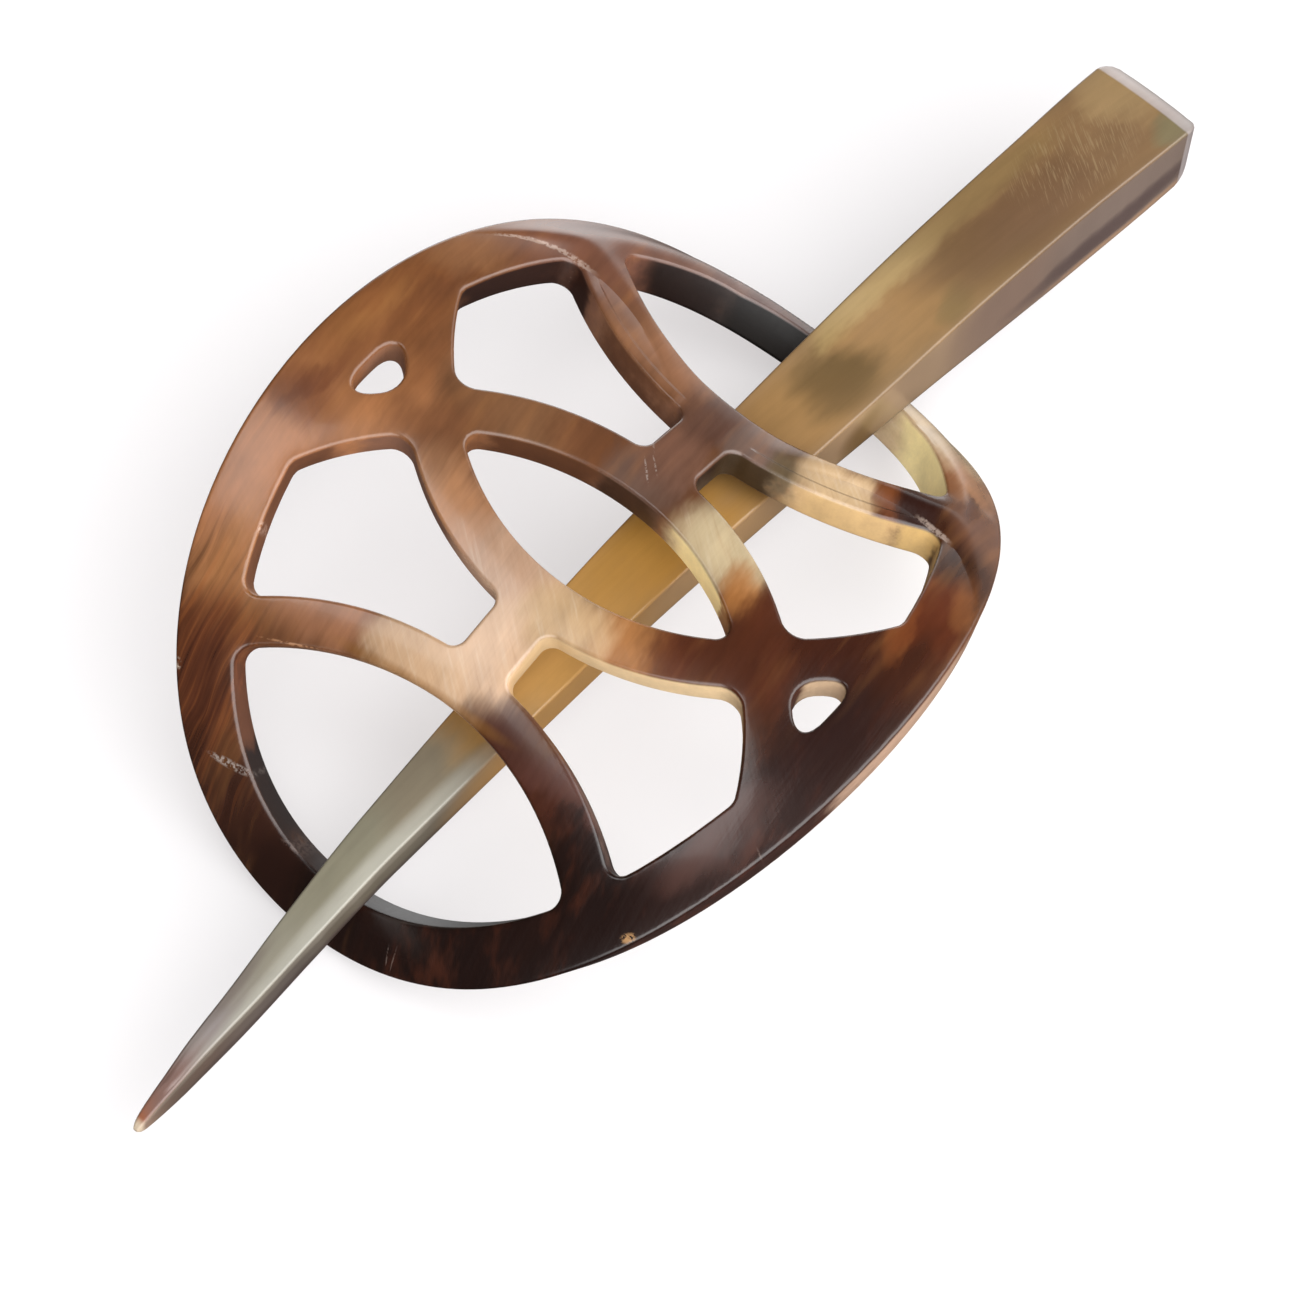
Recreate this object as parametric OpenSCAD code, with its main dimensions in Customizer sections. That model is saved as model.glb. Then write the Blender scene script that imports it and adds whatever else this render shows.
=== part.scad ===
// Pierced horn hair slide and the stick that pins it, in millimetres.
// The arched plate stands on its two low ends, and the stick lies through it.
// X runs along the arch toward the butt of the stick, Y across the arch and Z up.
// The origin is on the ground, under the middle of the bounding box.

/* [Plate] */
// Half the length of the plate, measured along its arch
half_length = 53.3; // [52:0.1:55]
// Half the width of the plate
half_width = 37.4; // [36:0.1:39]
// Half the length of the pierced field inside the rim, along the arch
field_half_length = 46.6; // [45.5:0.1:47.5]
// Half the width of the pierced field
field_half_width = 30.8; // [30:0.1:31.5]
// Thickness in the middle of the plate
thickness = 3.8; // [3.2:0.1:4.4]
// Width of the small round on every edge
edge = 0.45; // [0.3:0.05:0.6]
// How much the butt's end is raised above the middle
ridge_height = 1.0; // [0.6:0.1:1.4]
// Height taken off under each end, so that it stands on a flat
foot_trim = 0.6; // [0.3:0.1:0.9]

/* [Arch] */
// Slope gained in each millimetre from the crown, in degrees
slope_rate = 0.929; // [0.85:0.001:1]
// Extra slope toward the ends, in degrees for each cubic millimetre
slope_growth = 0.00009; // [0.00006:0.00001:0.00012]

/* [Pattern] */
// Distance from the middle to the centre of each circle of the central net
net_centre = 22.3; // [22:0.1:22.6]
// Radius of the lens-shaped opening's two sides
lens_radius = 28.7; // [28.4:0.1:29]
// Radius of the outer side of the net's bands
net_radius = 34.1; // [33.8:0.1:34.4]
// Distance from the middle to the centre of each circle of the net's arms
arm_centre = 28; // [27.6:0.1:28.4]
// Radius of the inner side of an arm
arm_inner_radius = 32.7; // [32.4:0.1:33]
// Radius of the outer side of an arm
arm_outer_radius = 37.8; // [37.5:0.1:38.1]
// Distance from the middle to the centre of each end band's circle
band_centre = 55.6; // [55:0.1:56]
// Radius of an end band's side toward the end of the plate
band_inner_radius = 31.8; // [31.4:0.1:32.2]
// Radius of an end band's side toward the middle
band_outer_radius = 37; // [36.6:0.1:37.4]
// Half the width of the bridge that joins the net to an end band
bridge_half_width = 3.1; // [2.8:0.1:3.4]
// Corner radius of the lens opening
lens_fillet = 2; // [1.2:0.1:2.4]
// Corner radius of the four side openings
side_fillet = 2.2; // [1.6:0.1:2.6]
// Corner radius of the side openings beside a bridge
bridge_fillet = 1.4; // [1:0.1:1.8]
// Corner radius of the side openings' blunt corner on the rim
blunt_fillet = 0.4; // [0.2:0.1:0.8]
// Corner radius of the two end openings
end_fillet = 1.8; // [1.4:0.1:2.4]
// Corner radius of the two small openings
small_fillet = 3; // [2.4:0.1:3.2]

/* [Ridge] */
// Distance from the crown line to the farthest point of the crease
crease_reach = 27.4; // [26:0.1:28.5]
// Distance of that point from the middle line of the plate
crease_side = 23.9; // [23:0.1:25]
// Radius of the crease from that point toward the middle line
crease_inner_radius = 21; // [19:0.5:23]
// Radius of the crease from that point toward the rim
crease_outer_radius = 7.3; // [6.5:0.1:8]
// Width of the ridge's round shoulder beside the crease
shoulder = 3.5; // [2.5:0.1:4.5]
// Width over which the raised end falls to the plate's outline
outline_slope = 5; // [4:0.1:6]

/* [Stick] */
// Free space between the stick and the rim that carries it
seat_gap = 0.3; // [0.2:0.05:0.5]
// Radius of the stick's lower edges
low_edge_radius = 1.8; // [1.2:0.1:2.2]
// Radius of the stick's upper edges
top_edge_radius = 0.3; // [0.3:0.1:0.8]
// How far the middle of the stick's top stands above its upper edges, at the butt
crown_height = 0.3; // [0:0.1:0.6]

/* [Hidden] */

// Sections of the stick from its tip to its butt. Columns: x, y of the middle, width, and the
// heights of the underside and the top above the line on which the stick rests
stick_sections = [
    [-75.2, -3.7, 0.5, 1.3, 1.8],
    [-74.8, -3.7, 0.9, 0.8, 2.3],
    [-74.0, -3.7, 1.2, 0.5, 2.9],
    [-70.0, -3.7, 1.8, 0.1, 4.5],
    [-66.0, -3.6, 2.3, 0.0, 5.6],
    [-61.0, -3.5, 2.8, 0.0, 6.2],
    [-49.0, -2.8, 4.1, 0.0, 6.5],
    [-36.0, -2.2, 5.3, 0.0, 6.6],
    [-20.0, -2.1, 6.7, 0.0, 6.9],
    [0.0, -2.3, 8.0, 0.0, 7.5],
    [19.0, -3.1, 9.4, 0.0, 7.9],
    [37.0, -4.5, 10.5, 0.0, 9.8],
    [45.0, -5.3, 10.8, 0.0, 11.2],
    [53.0, -6.2, 11.1, 0.0, 12.4],
    [65.0, -7.5, 11.5, 0.0, 13.3],
    [80.0, -8.7, 12.3, 0.0, 12.3],
    [81.2, -8.8, 11.9, 0.4, 11.7],
    [82.5, -8.9, 10.3, 1.5, 10.4],
    [83.3, -8.9, 6.7, 3.4, 8.4]];
stick_tip_x = stick_sections[0][0];
stick_butt_x = stick_sections[len(stick_sections) - 1][0];
middle_x = (stick_tip_x + stick_butt_x) / 2;

// Side of the square cells that the plate's faces are divided into
cell = 2;
// A cell corner nearer to an edge than this counts as outside
snap = 0.2;
// A cut lies no nearer to a cell corner than this part of the cell's side
cut_margin = 0.1;
// Step for finding the direction in which the level of a point rises
probe = 0.05;
columns = 2 * ceil((half_length + cell) / cell);
rows = 2 * ceil((half_width + cell) / cell);

// Step of the arch's curve
arch_step = 0.5;
arch_steps = ceil((half_length + cell) / arch_step) + 1;

function arch_slope(s) = slope_rate * s + slope_growth * pow(s, 3);

// The arch's top line from the crown to one end, as [x, z] points
arch_line = [
    for (k = 0, p = [0, 0];
         k <= arch_steps;
         p = p + arch_step * [cos(arch_slope((k + 0.5) * arch_step)), -sin(arch_slope((k + 0.5) * arch_step))],
         k = k + 1) p];

// Point of the arch's top line at the distance s from the crown
function arch_point(s) =
    let (k = floor(s / arch_step), part = s / arch_step - k)
    arch_line[k] * (1 - part) + arch_line[k + 1] * part;

// Height of the crown that leaves the trimmed feet on the ground
crown_z = cos(arch_slope(half_length)) * (thickness - edge) - arch_point(half_length)[1] - foot_trim;

// Place in space of the point at [u, v] of the flat pattern, h above the underside
function bent(u, v, h) =
    let (s = abs(u), top = arch_point(s), slope = arch_slope(s), x = top[0] + sin(slope) * (h - thickness))
    [sign(u) * x - middle_x, v, max(0, crown_z + top[1] + cos(slope) * (h - thickness))];

// Levels are distances to an outline in the flat pattern, negative inside it
function circle_level(p, q, centre, radius) = norm([p - centre, q]) - radius;

function ellipse_level(p, q, a, b) =
    let (k1 = norm([p / a, q / b]), k2 = norm([p / pow(a, 2), q / pow(b, 2)]))
    k1 * (k1 - 1) / max(k2, 0.0001);

// Overlap of several shapes, with their common corners rounded
function rounded_overlap(levels, radius) =
    min(max(levels) + radius, 0) + norm([for (level = levels) max(level + radius, 0)]) - radius;

function field_level(p, q) = ellipse_level(p, q, field_half_length, field_half_width);

function lens_level(p, q) =
    rounded_overlap([circle_level(p, q, -net_centre, lens_radius), circle_level(p, q, net_centre, lens_radius)],
                    lens_fillet);

function side_level(p, q) =
    let (rim_side = rounded_overlap([circle_level(p, q, arm_centre, arm_inner_radius), field_level(p, q)],
                                    blunt_fillet),
         between_bands = rounded_overlap([rim_side,
                                          -circle_level(p, q, -net_centre, net_radius),
                                          -circle_level(p, q, band_centre, band_outer_radius)],
                                         side_fillet))
    rounded_overlap([between_bands, bridge_half_width - q], bridge_fillet);

function end_level(p, q) =
    rounded_overlap([circle_level(p, q, band_centre, band_inner_radius), field_level(p, q)], end_fillet);

function small_level(p, q) =
    rounded_overlap([-circle_level(p, q, arm_centre, arm_outer_radius),
                     -circle_level(p, q, -arm_centre, arm_outer_radius),
                     field_level(p, q)],
                    small_fillet);

function rim_level(p, q) = ellipse_level(p, q, half_length, half_width);

// Level of the plate itself: the rim's outline without the nine openings
function plate_level(u, v) =
    let (p = abs(u), q = abs(v))
    max(rim_level(p, q),
        -lens_level(p, q), -side_level(p, q), -end_level(p, q), -small_level(p, q));

// Direction in the pattern in which the level rises
function outward(u, v) =
    let (rise = [plate_level(u + probe, v) - plate_level(u - probe, v),
                 plate_level(u, v + probe) - plate_level(u, v - probe)])
    rise / norm(rise);

// Smooth change from 0 at the value a to 1 at the value b
function ramp(value, a, b) =
    let (t = max(0, min(1, (value - a) / (b - a))))
    t * t * (3 - 2 * t);

// Height of the top face above the thickness: the butt's end is raised, with a crease on the crown's side
function relief(u, v) =
    let (q = abs(v),
         radius = q < crease_side ? crease_inner_radius : crease_outer_radius,
         beyond = u - crease_reach + pow(q - crease_side, 2) / (2 * radius),
         rise = max(0, min(1, beyond / shoulder)),
         round_top = 1 - pow(1 - rise, 2),
         fade = max(ramp(q, 4, 16), ramp(u, 38, 46)) * ramp(-rim_level(u, q), 0, outline_slope))
    u > 0 ? ridge_height * round_top * fade : 0;

function top_height(u, v) = thickness + relief(u, v);

// Corners and sides of the cells: a side starts at its corner and runs along u (0) or v (1)
function corner_u(i) = (i - columns / 2) * cell;
function corner_v(j) = (j - rows / 2) * cell;
function corner_key(i, j) = j * (columns + 1) + i;
function side_key(i, j, way) = 2 * corner_key(i, j) + way;

corner_levels = [for (j = [0 : rows]) for (i = [0 : columns]) plate_level(corner_u(i), corner_v(j))];
solid_corners = [for (level = corner_levels) level < -edge - snap ? 1 : 0];
cut_sides = [
    for (j = [0 : rows])
    for (i = [0 : columns])
    for (way = [0, 1])
    let (i2 = i + 1 - way, j2 = j + way)
    i2 > columns || j2 > rows ? 0 : abs(solid_corners[corner_key(i, j)] - solid_corners[corner_key(i2, j2)])];

// For each entry of a list of ones and zeros, how many ones come before it
function ranks(list) = [for (k = 0, n = 0; k < len(list); n = n + list[k], k = k + 1) n];

corner_ranks = ranks(solid_corners);
side_ranks = ranks(cut_sides);

// Solid corners in the flat pattern
corners = [
    for (j = [0 : rows])
    for (i = [0 : columns])
    if (solid_corners[corner_key(i, j)] == 1)
    [corner_u(i), corner_v(j)]];

// Where the plate's edge cuts the side that starts at corner [i, j]
function cut_point(i, j, way) =
    let (a = corner_levels[corner_key(i, j)],
         b = corner_levels[corner_key(i + 1 - way, j + way)],
         part = max(cut_margin, min(1 - cut_margin, (-edge - a) / (b - a))))
    [corner_u(i + part * (1 - way)), corner_v(j + part * way)];

// For each cut side: the point of the face's border and the point of the outline beyond it
cuts = [
    for (j = [0 : rows])
    for (i = [0 : columns])
    for (way = [0, 1])
    if (cut_sides[side_key(i, j, way)] == 1)
    let (p = cut_point(i, j, way), level = plate_level(p[0], p[1]), out = outward(p[0], p[1]))
    [p - (level + edge) * out, p - level * out]];

corner_count = len(corners);
cut_count = len(cuts);

// Layers of points, from the top face down to the underside
plate_points = concat(
    [for (p = corners) bent(p[0], p[1], top_height(p[0], p[1]))],
    [for (p = corners) bent(p[0], p[1], 0)],
    [for (c = cuts) bent(c[0][0], c[0][1], top_height(c[0][0], c[0][1]))],
    [for (c = cuts) bent(c[1][0], c[1][1], top_height(c[0][0], c[0][1]) - edge)],
    [for (c = cuts) bent(c[1][0], c[1][1], edge)],
    [for (c = cuts) bent(c[0][0], c[0][1], 0)]);

// A name is the rank of a corner, or less than zero for a cut
function cut_name(key) = -1 - side_ranks[key];
function cut_index(name, layer) = 2 * corner_count + layer * cut_count - 1 - name;
function top_index(name) = name < 0 ? cut_index(name, 0) : name;
function under_index(name) = name < 0 ? cut_index(name, 3) : corner_count + name;

// Names of the points round the solid part of a cell, in order
function cell_outline(i, j) =
    let (around = [corner_key(i, j), corner_key(i + 1, j), corner_key(i + 1, j + 1), corner_key(i, j + 1)],
         sides = [side_key(i, j, 0), side_key(i + 1, j, 1), side_key(i, j + 1, 0), side_key(i, j, 1)])
    [for (k = [0 : 3])
     each concat(solid_corners[around[k]] == 1 ? [corner_ranks[around[k]]] : [],
                 cut_sides[sides[k]] == 1 ? [cut_name(sides[k])] : [])];

outlines = [
    for (j = [0 : rows - 1])
    for (i = [0 : columns - 1])
    let (outline = cell_outline(i, j))
    if (len(outline) > 2)
    outline];

function quad(a, b, c, d) = [[a, b, c], [a, c, d]];

// Strips from the underside's border up to the top face's, under one stretch of the edge
function edge_strips(a, b) = [
    for (layer = [0 : 2])
    each quad(cut_index(a, layer + 1), cut_index(b, layer + 1), cut_index(b, layer), cut_index(a, layer))];

plate_faces = concat(
    [for (o = outlines) for (k = [1 : len(o) - 2]) [top_index(o[0]), top_index(o[k]), top_index(o[k + 1])]],
    [for (o = outlines) for (k = [1 : len(o) - 2]) [under_index(o[0]), under_index(o[k + 1]), under_index(o[k])]],
    [for (o = outlines)
     for (k = [0 : len(o) - 1])
     let (a = o[k], b = o[(k + 1) % len(o)])
     if (a < 0 && b < 0)
     each edge_strips(a, b)]);

// The stick's low edges meet the rim beside the end openings, at these distances from the middle line
tip_seat_y = 4.6;
butt_seat_y = 8.6;

// [x, z] of the top of the rim where the end opening's border is at the distance y from the middle line, on
// the side of the tip (-1) or of the butt (1)
function seat(side, y) =
    let (u = side * (field_half_length * sqrt(1 - pow(y / field_half_width, 2)) + edge),
         p = bent(u, y, top_height(u, y)))
    [p[0] + middle_x, p[2] + seat_gap];

tip_seat = seat(-1, tip_seat_y);
butt_seat = seat(1, butt_seat_y);
seat_rise = (butt_seat[1] - tip_seat[1]) / (butt_seat[0] - tip_seat[0]);

// Height of the line on which the stick rests
function rest_z(x) = tip_seat[1] + seat_rise * (x - tip_seat[0]);

// Points of a corner's round, from the angle a on, with the centre c
corner_steps = 3;
function corner_round(c, radius, a) =
    [for (k = [0 : corner_steps]) c + radius * [cos(a + 90 * k / corner_steps), sin(a + 90 * k / corner_steps)]];

// Section of the stick in [y, z]: low edges well rounded, upper edges crisp, top slightly crowned
function stick_outline(y, width, under, top) =
    let (low = min(low_edge_radius, 0.38 * width, 0.38 * (top - under)),
         high = min(top_edge_radius, 0.3 * width, 0.3 * (top - under)),
         left = y - width / 2,
         right = y + width / 2,
         crown = crown_height * width / 12)
    concat(corner_round([right - high, top - crown - high], high, 0),
           [[y, top]],
           corner_round([left + high, top - crown - high], high, 90),
           corner_round([left + low, under + low], low, 180),
           corner_round([right - low, under + low], low, 270));

stick_rings = [
    for (s = stick_sections)
    [for (p = stick_outline(s[1], s[2], s[3], s[4])) [s[0] - middle_x, p[0], p[1] + rest_z(s[0])]]];
ring_size = len(stick_rings[0]);
ring_count = len(stick_rings);
stick_points = [for (ring = stick_rings) each ring];
stick_faces = concat(
    [for (k = [1 : ring_size - 2]) [0, k + 1, k]],
    [for (r = [0 : ring_count - 2])
     for (k = [0 : ring_size - 1])
     let (a = r * ring_size + k, b = r * ring_size + (k + 1) % ring_size)
     each quad(a, b, b + ring_size, a + ring_size)],
    [for (k = [1 : ring_size - 2]) [for (n = [0, k, k + 1]) (ring_count - 1) * ring_size + n]]);

// Faces are listed with their points in counter-clockwise order, and a polyhedron wants the other order
function reversed(faces) = [for (f = faces) [f[2], f[1], f[0]]];

// The arched plate of the hair slide, one piece of horn with nine openings
module plate() {
    color([0.36, 0.2, 0.11])
        polyhedron(points = plate_points, faces = reversed(plate_faces), convexity = 10);
}

// The straight tapering stick, with a small blunt tip and a bevelled butt
module stick() {
    color([0.6, 0.48, 0.28])
        polyhedron(points = stick_points, faces = reversed(stick_faces), convexity = 4);
}

plate();
stick();
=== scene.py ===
# %% [markdown]
# # A pierced horn hair slide and its stick
#
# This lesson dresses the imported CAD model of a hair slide: an arched oval plate of polished horn, pierced with nine
# openings, and the long tapering stick that pins it. The CAD model gives every place and size in metres, and its
# solids stay as the frame. Both pieces are modelled again here with smooth faces, because the solids are faceted.

# %% Load the frame
import math

import bpy
import numpy as np
from mathutils import Matrix, Vector


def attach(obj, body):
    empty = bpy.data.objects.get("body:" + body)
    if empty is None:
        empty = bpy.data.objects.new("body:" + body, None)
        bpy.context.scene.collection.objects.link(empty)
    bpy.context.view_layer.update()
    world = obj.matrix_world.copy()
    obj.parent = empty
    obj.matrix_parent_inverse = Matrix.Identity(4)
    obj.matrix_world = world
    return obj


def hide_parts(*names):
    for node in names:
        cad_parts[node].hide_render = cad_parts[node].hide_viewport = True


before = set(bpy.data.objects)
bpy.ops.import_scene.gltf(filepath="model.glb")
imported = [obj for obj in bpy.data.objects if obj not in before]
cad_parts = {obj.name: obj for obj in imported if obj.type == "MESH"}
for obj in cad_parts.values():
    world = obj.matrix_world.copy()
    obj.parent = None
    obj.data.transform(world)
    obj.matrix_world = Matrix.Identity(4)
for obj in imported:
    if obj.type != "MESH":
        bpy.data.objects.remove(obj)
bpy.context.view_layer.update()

# %% [markdown]
# ## The workbench
#
# Blender's mesh operators have tolerances near a tenth of a millimetre, and this pattern is finer than that. So each
# blank is cut on a workbench where one unit stands for a millimetre, and it gets its real size in metres when it is
# put in place. Operators act on all that is selected, so everything is deselected first. The helpers below switch
# between object mode and edit mode, and read and write the points of a mesh as one array.

# %% Helpers for meshes
MM = 0.001


def start_clean():
    if bpy.context.mode != "OBJECT":
        bpy.ops.object.mode_set(mode="OBJECT")
    bpy.ops.object.select_all(action="DESELECT")


def edit(piece, parts="VERT"):
    """Edit mode on one piece, with vertices, edges or faces to select."""
    start_clean()
    bpy.context.view_layer.objects.active = piece
    piece.select_set(True)
    bpy.ops.object.mode_set(mode="EDIT")
    bpy.ops.mesh.select_mode(type=parts)


def leave_edit():
    bpy.ops.object.mode_set(mode="OBJECT")


def points_of(piece):
    places = np.empty(3 * len(piece.data.vertices))
    piece.data.vertices.foreach_get("co", places)
    return places.reshape(-1, 3)


def put_points(piece, places):
    piece.data.vertices.foreach_set("co", np.asarray(places, float).ravel())
    piece.data.update()


def select_faces(piece, test):
    """Selects the faces whose centre and normal pass the test."""
    edit(piece, "FACE")
    bpy.ops.mesh.select_all(action="DESELECT")
    leave_edit()
    for face in piece.data.polygons:
        face.select = bool(test(face.center, face.normal))
    bpy.ops.object.mode_set(mode="EDIT")


def cut(place, normal, **keep):
    """Cuts all faces along a plane, as the bisect tool does."""
    bpy.ops.mesh.select_all(action="SELECT")
    bpy.ops.mesh.bisect(plane_co=place, plane_no=normal, threshold=0.0001, **keep)


# %% [markdown]
# ## The pattern of the plate
#
# The real plate was drawn with a compass. Two big circles cross at the middle and leave a pointed lens, and two wide
# circles make the end bands, so each opening is an overlap of round shapes. Here a shape is a level: the distance to
# its edge, negative inside. An overlap takes the largest level, and a small radius rounds the corners, as the
# maker's file did. Three kinds of band are left standing, each between two radii: the rings round the lens, the arms
# that cross on the crown line and reach the rim, and the bands beside the end openings. The numbers are the CAD
# part's own, so that both plates have the same holes.

# %% Levels of the shapes, in millimetres
half_length, half_width = 53.3, 37.4
field_half_length, field_half_width = 46.6, 30.8
thickness, edge = 3.8, 0.45
net_centre, lens_radius, net_radius = 22.3, 28.7, 34.1
arm_centre, arm_inner_radius, arm_outer_radius = 28, 32.7, 37.8
band_centre, band_inner_radius, band_outer_radius = 55.6, 31.8, 37
bridge_half_width = 3.1
fillets = {"lens": 2, "side": 2.2, "bridge": 1.4, "blunt": 0.4, "end": 1.8, "small": 3}


def circle(u, v, centre, radius):
    return np.hypot(u - centre, v) - radius


def ellipse(u, v, a, b):
    near = np.hypot(u / a, v / b)
    return near * (near - 1) / np.maximum(np.hypot(u / a**2, v / b**2), 0.0001)


def overlap(levels, radius):
    worst = levels[0]
    for level in levels[1:]:
        worst = np.maximum(worst, level)
    outside = np.sqrt(sum(np.maximum(level + radius, 0) ** 2 for level in levels))
    return np.minimum(worst + radius, 0) + outside - radius


def field(u, v):
    return ellipse(u, v, field_half_length, field_half_width)


def rim(u, v):
    return ellipse(u, v, half_length, half_width)


def lens_opening(u, v):
    return overlap([circle(u, v, -net_centre, lens_radius), circle(u, v, net_centre, lens_radius)], fillets["lens"])


def side_opening(u, v):
    by_the_rim = overlap([circle(u, v, arm_centre, arm_inner_radius), field(u, v)], fillets["blunt"])
    outside_bands = [-circle(u, v, -net_centre, net_radius), -circle(u, v, band_centre, band_outer_radius)]
    between_bands = overlap([by_the_rim, *outside_bands], fillets["side"])
    return overlap([between_bands, bridge_half_width - v], fillets["bridge"])


def end_opening(u, v):
    return overlap([circle(u, v, band_centre, band_inner_radius), field(u, v)], fillets["end"])


def small_opening(u, v):
    outside_arms = [-circle(u, v, arm_centre, arm_outer_radius), -circle(u, v, -arm_centre, arm_outer_radius)]
    return overlap([*outside_arms, field(u, v)], fillets["small"])


# %% [markdown]
# ## Tracing an outline
#
# To turn a level into a line, rays go out from a point inside the shape, and each ray is halved again and again until
# it ends on the edge. Most of those points are not needed. One is kept where the line has turned by six degrees or
# has run on for a millimetre, so that the corners get more points than the long arcs.

# %% Trace the outlines
def outline(level, middle, rays=1440, stride=0.25, longest=60):
    """The line round the middle on which the level is zero."""
    angle = 2 * np.pi * np.arange(rays) / rays
    way = np.stack([np.cos(angle), np.sin(angle)], -1)
    reach = np.arange(stride, longest, stride)
    inside = level(middle[0] + way[:, :1] * reach, middle[1] + way[:, 1:] * reach) < 0
    far = reach[np.argmin(inside, axis=1)]
    near = far - stride
    for _ in range(30):
        half = (near + far) / 2
        is_inside = level(middle[0] + way[:, 0] * half, middle[1] + way[:, 1] * half) < 0
        near, far = np.where(is_inside, half, near), np.where(is_inside, far, half)
    line = np.array(middle) + way * near[:, None]
    kept = [0]
    for k in range(1, rays - 1):
        back, ahead = line[k] - line[kept[-1]], line[k + 1] - line[k]
        turned = abs(math.atan2(back[0] * ahead[1] - back[1] * ahead[0], back @ ahead))
        run = math.hypot(*back)
        if run > 1 or (run > 0.15 and turned > math.radians(6)):
            kept.append(k)
    return line[kept]


outlines = {
    "rim": outline(rim, (0, 0)),
    "lens": outline(lens_opening, (0, 0)),
    "side": outline(side_opening, (18, 17)),
    "end": outline(end_opening, (36, 0)),
    "small": outline(small_opening, (0, 29)),
}
print("points in each outline:", {name: len(line) for name, line in outlines.items()})

# %% [markdown]
# ## The flat blank
#
# The plate is the same on both sides of both middle lines, so one quarter is enough: the rim and one opening of each
# kind. Each outline starts as a circle primitive that is added in edit mode, and its points are moved out to the
# traced line. Fill covers the space between the nested loops, limited dissolve joins the triangles into a few clean
# faces, and an extrusion gives the walls.

# %% Draw, fill and extrude
start_clean()
bpy.ops.mesh.primitive_circle_add(vertices=len(outlines["rim"]), radius=half_length)
plate = bpy.context.object
plate.name = plate.data.name = "pierced_plate"
for name, line in outlines.items():
    if name != "rim":
        edit(plate)
        bpy.ops.mesh.select_all(action="DESELECT")
        bpy.ops.mesh.primitive_circle_add(vertices=len(line), radius=2)
        leave_edit()
    places = points_of(plate)
    places[-len(line):] = np.column_stack([line, np.full(len(line), edge)])
    put_points(plate, places)

edit(plate, "EDGE")
bpy.ops.mesh.select_all(action="SELECT")
bpy.ops.mesh.fill(use_beauty=True)
bpy.ops.mesh.select_all(action="SELECT")
bpy.ops.mesh.dissolve_limited(angle_limit=math.radians(1))
bpy.ops.mesh.select_mode(type="FACE")
bpy.ops.mesh.select_all(action="SELECT")
bpy.ops.mesh.extrude_region_move(TRANSFORM_OT_translate={"value": (0, 0, thickness - 2 * edge)})
bpy.ops.mesh.select_all(action="SELECT")
bpy.ops.mesh.normals_make_consistent(inside=False)
leave_edit()
top_area = sum(face.area for face in plate.data.polygons if face.normal.z > 0.9)
print("area of the flat blank's top in mm2:", round(top_area))

# %% [markdown]
# ## The small round on every edge
#
# Every edge of the real plate is broken with a small round that catches a thin line of light. The bevel tool would
# slide along the long seams of the filled faces, so the round is made by insets: each one goes in a little and up a
# little, along a quarter of a circle. One more flat ring inside it keeps the shading of the face even.

# %% Inset the rounds
def round_off(piece, way, steps=5):
    select_faces(piece, lambda centre, normal: normal.z * way > 0.9)
    for k in range(1, steps + 1):
        before, after = math.radians(90 * (k - 1) / steps), math.radians(90 * k / steps)
        bpy.ops.mesh.inset(thickness=edge * (math.cos(before) - math.cos(after)),
                           depth=edge * (math.sin(after) - math.sin(before)))
    bpy.ops.mesh.inset(thickness=0.3, depth=0)
    leave_edit()


round_off(plate, 1)
round_off(plate, -1)
heights = points_of(plate)[:, 2]
print("the blank's heights in mm:", round(heights.min(), 3), "to", round(heights.max(), 3))

# %% [markdown]
# ## Lines for the raised end
#
# The band at the butt's end is raised, with a crisp crease on the side of the crown. A raised form needs rows of
# points to carry it, and a crease stays crisp only if one row runs along it. So the quarter is pushed sideways until
# the crease is straight, cut into narrow strips, and pulled back, which bends the cuts to the crease.

# %% Cut the quarter into strips
crease_reach, crease_side = 27.4, 23.9
crease_inner_radius, crease_outer_radius = 21, 7.3


def crease_bow(v):
    """How far the crease lies inside its farthest point."""
    return (v - crease_side) ** 2 / (2 * np.where(v < crease_side, crease_inner_radius, crease_outer_radius))


edit(plate)
cut((0, 0, 0), (1, 0, 0), clear_inner=True)
cut((0, 0, 0), (0, 1, 0), clear_inner=True)
cell = 0.6
for k in range(1, int(half_width / cell) + 1):
    cut((0, k * cell, 0), (0, 1, 0))
leave_edit()
places = points_of(plate)
places[:, 0] += crease_bow(places[:, 1])
put_points(plate, places)
edit(plate)
lines = [crease_reach + k * cell for k in range(-45, 70)] + [crease_reach + k * cell / 2 for k in (-1, 1, 3, 5)]
for line in sorted(x for x in lines if x < places[:, 0].max()):
    cut((line, 0, 0), (1, 0, 0))
leave_edit()
places = points_of(plate)
places[:, 0] -= crease_bow(places[:, 1])
beside_middle = 0.02
places[np.abs(places[:, 0]) < beside_middle, 0] = 0
put_points(plate, places)
print("points in the quarter:", len(places))

# %% [markdown]
# ## From the quarter to the whole plate
#
# The mirror modifier copies the quarter over both middle lines and merges the seams. For that the seam's points,
# which the bent cuts left a hair beside the middle line, were first put on it. Mirroring can turn a shape inside
# out, so the normals are worked out again afterwards.

# %% Mirror the quarter
start_clean()
bpy.context.view_layer.objects.active = plate
plate.select_set(True)
mirror = plate.modifiers.new("other_quarters", "MIRROR")
mirror.use_axis = (True, True, False)
mirror.merge_threshold = 0.002
bpy.ops.object.modifier_apply(modifier=mirror.name)
edit(plate)
bpy.ops.mesh.select_all(action="SELECT")
bpy.ops.mesh.remove_doubles(threshold=0.003)
bpy.ops.mesh.normals_make_consistent(inside=False)
leave_edit()
print("points in the plate:", len(plate.data.vertices), "faces:", len(plate.data.polygons))

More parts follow.
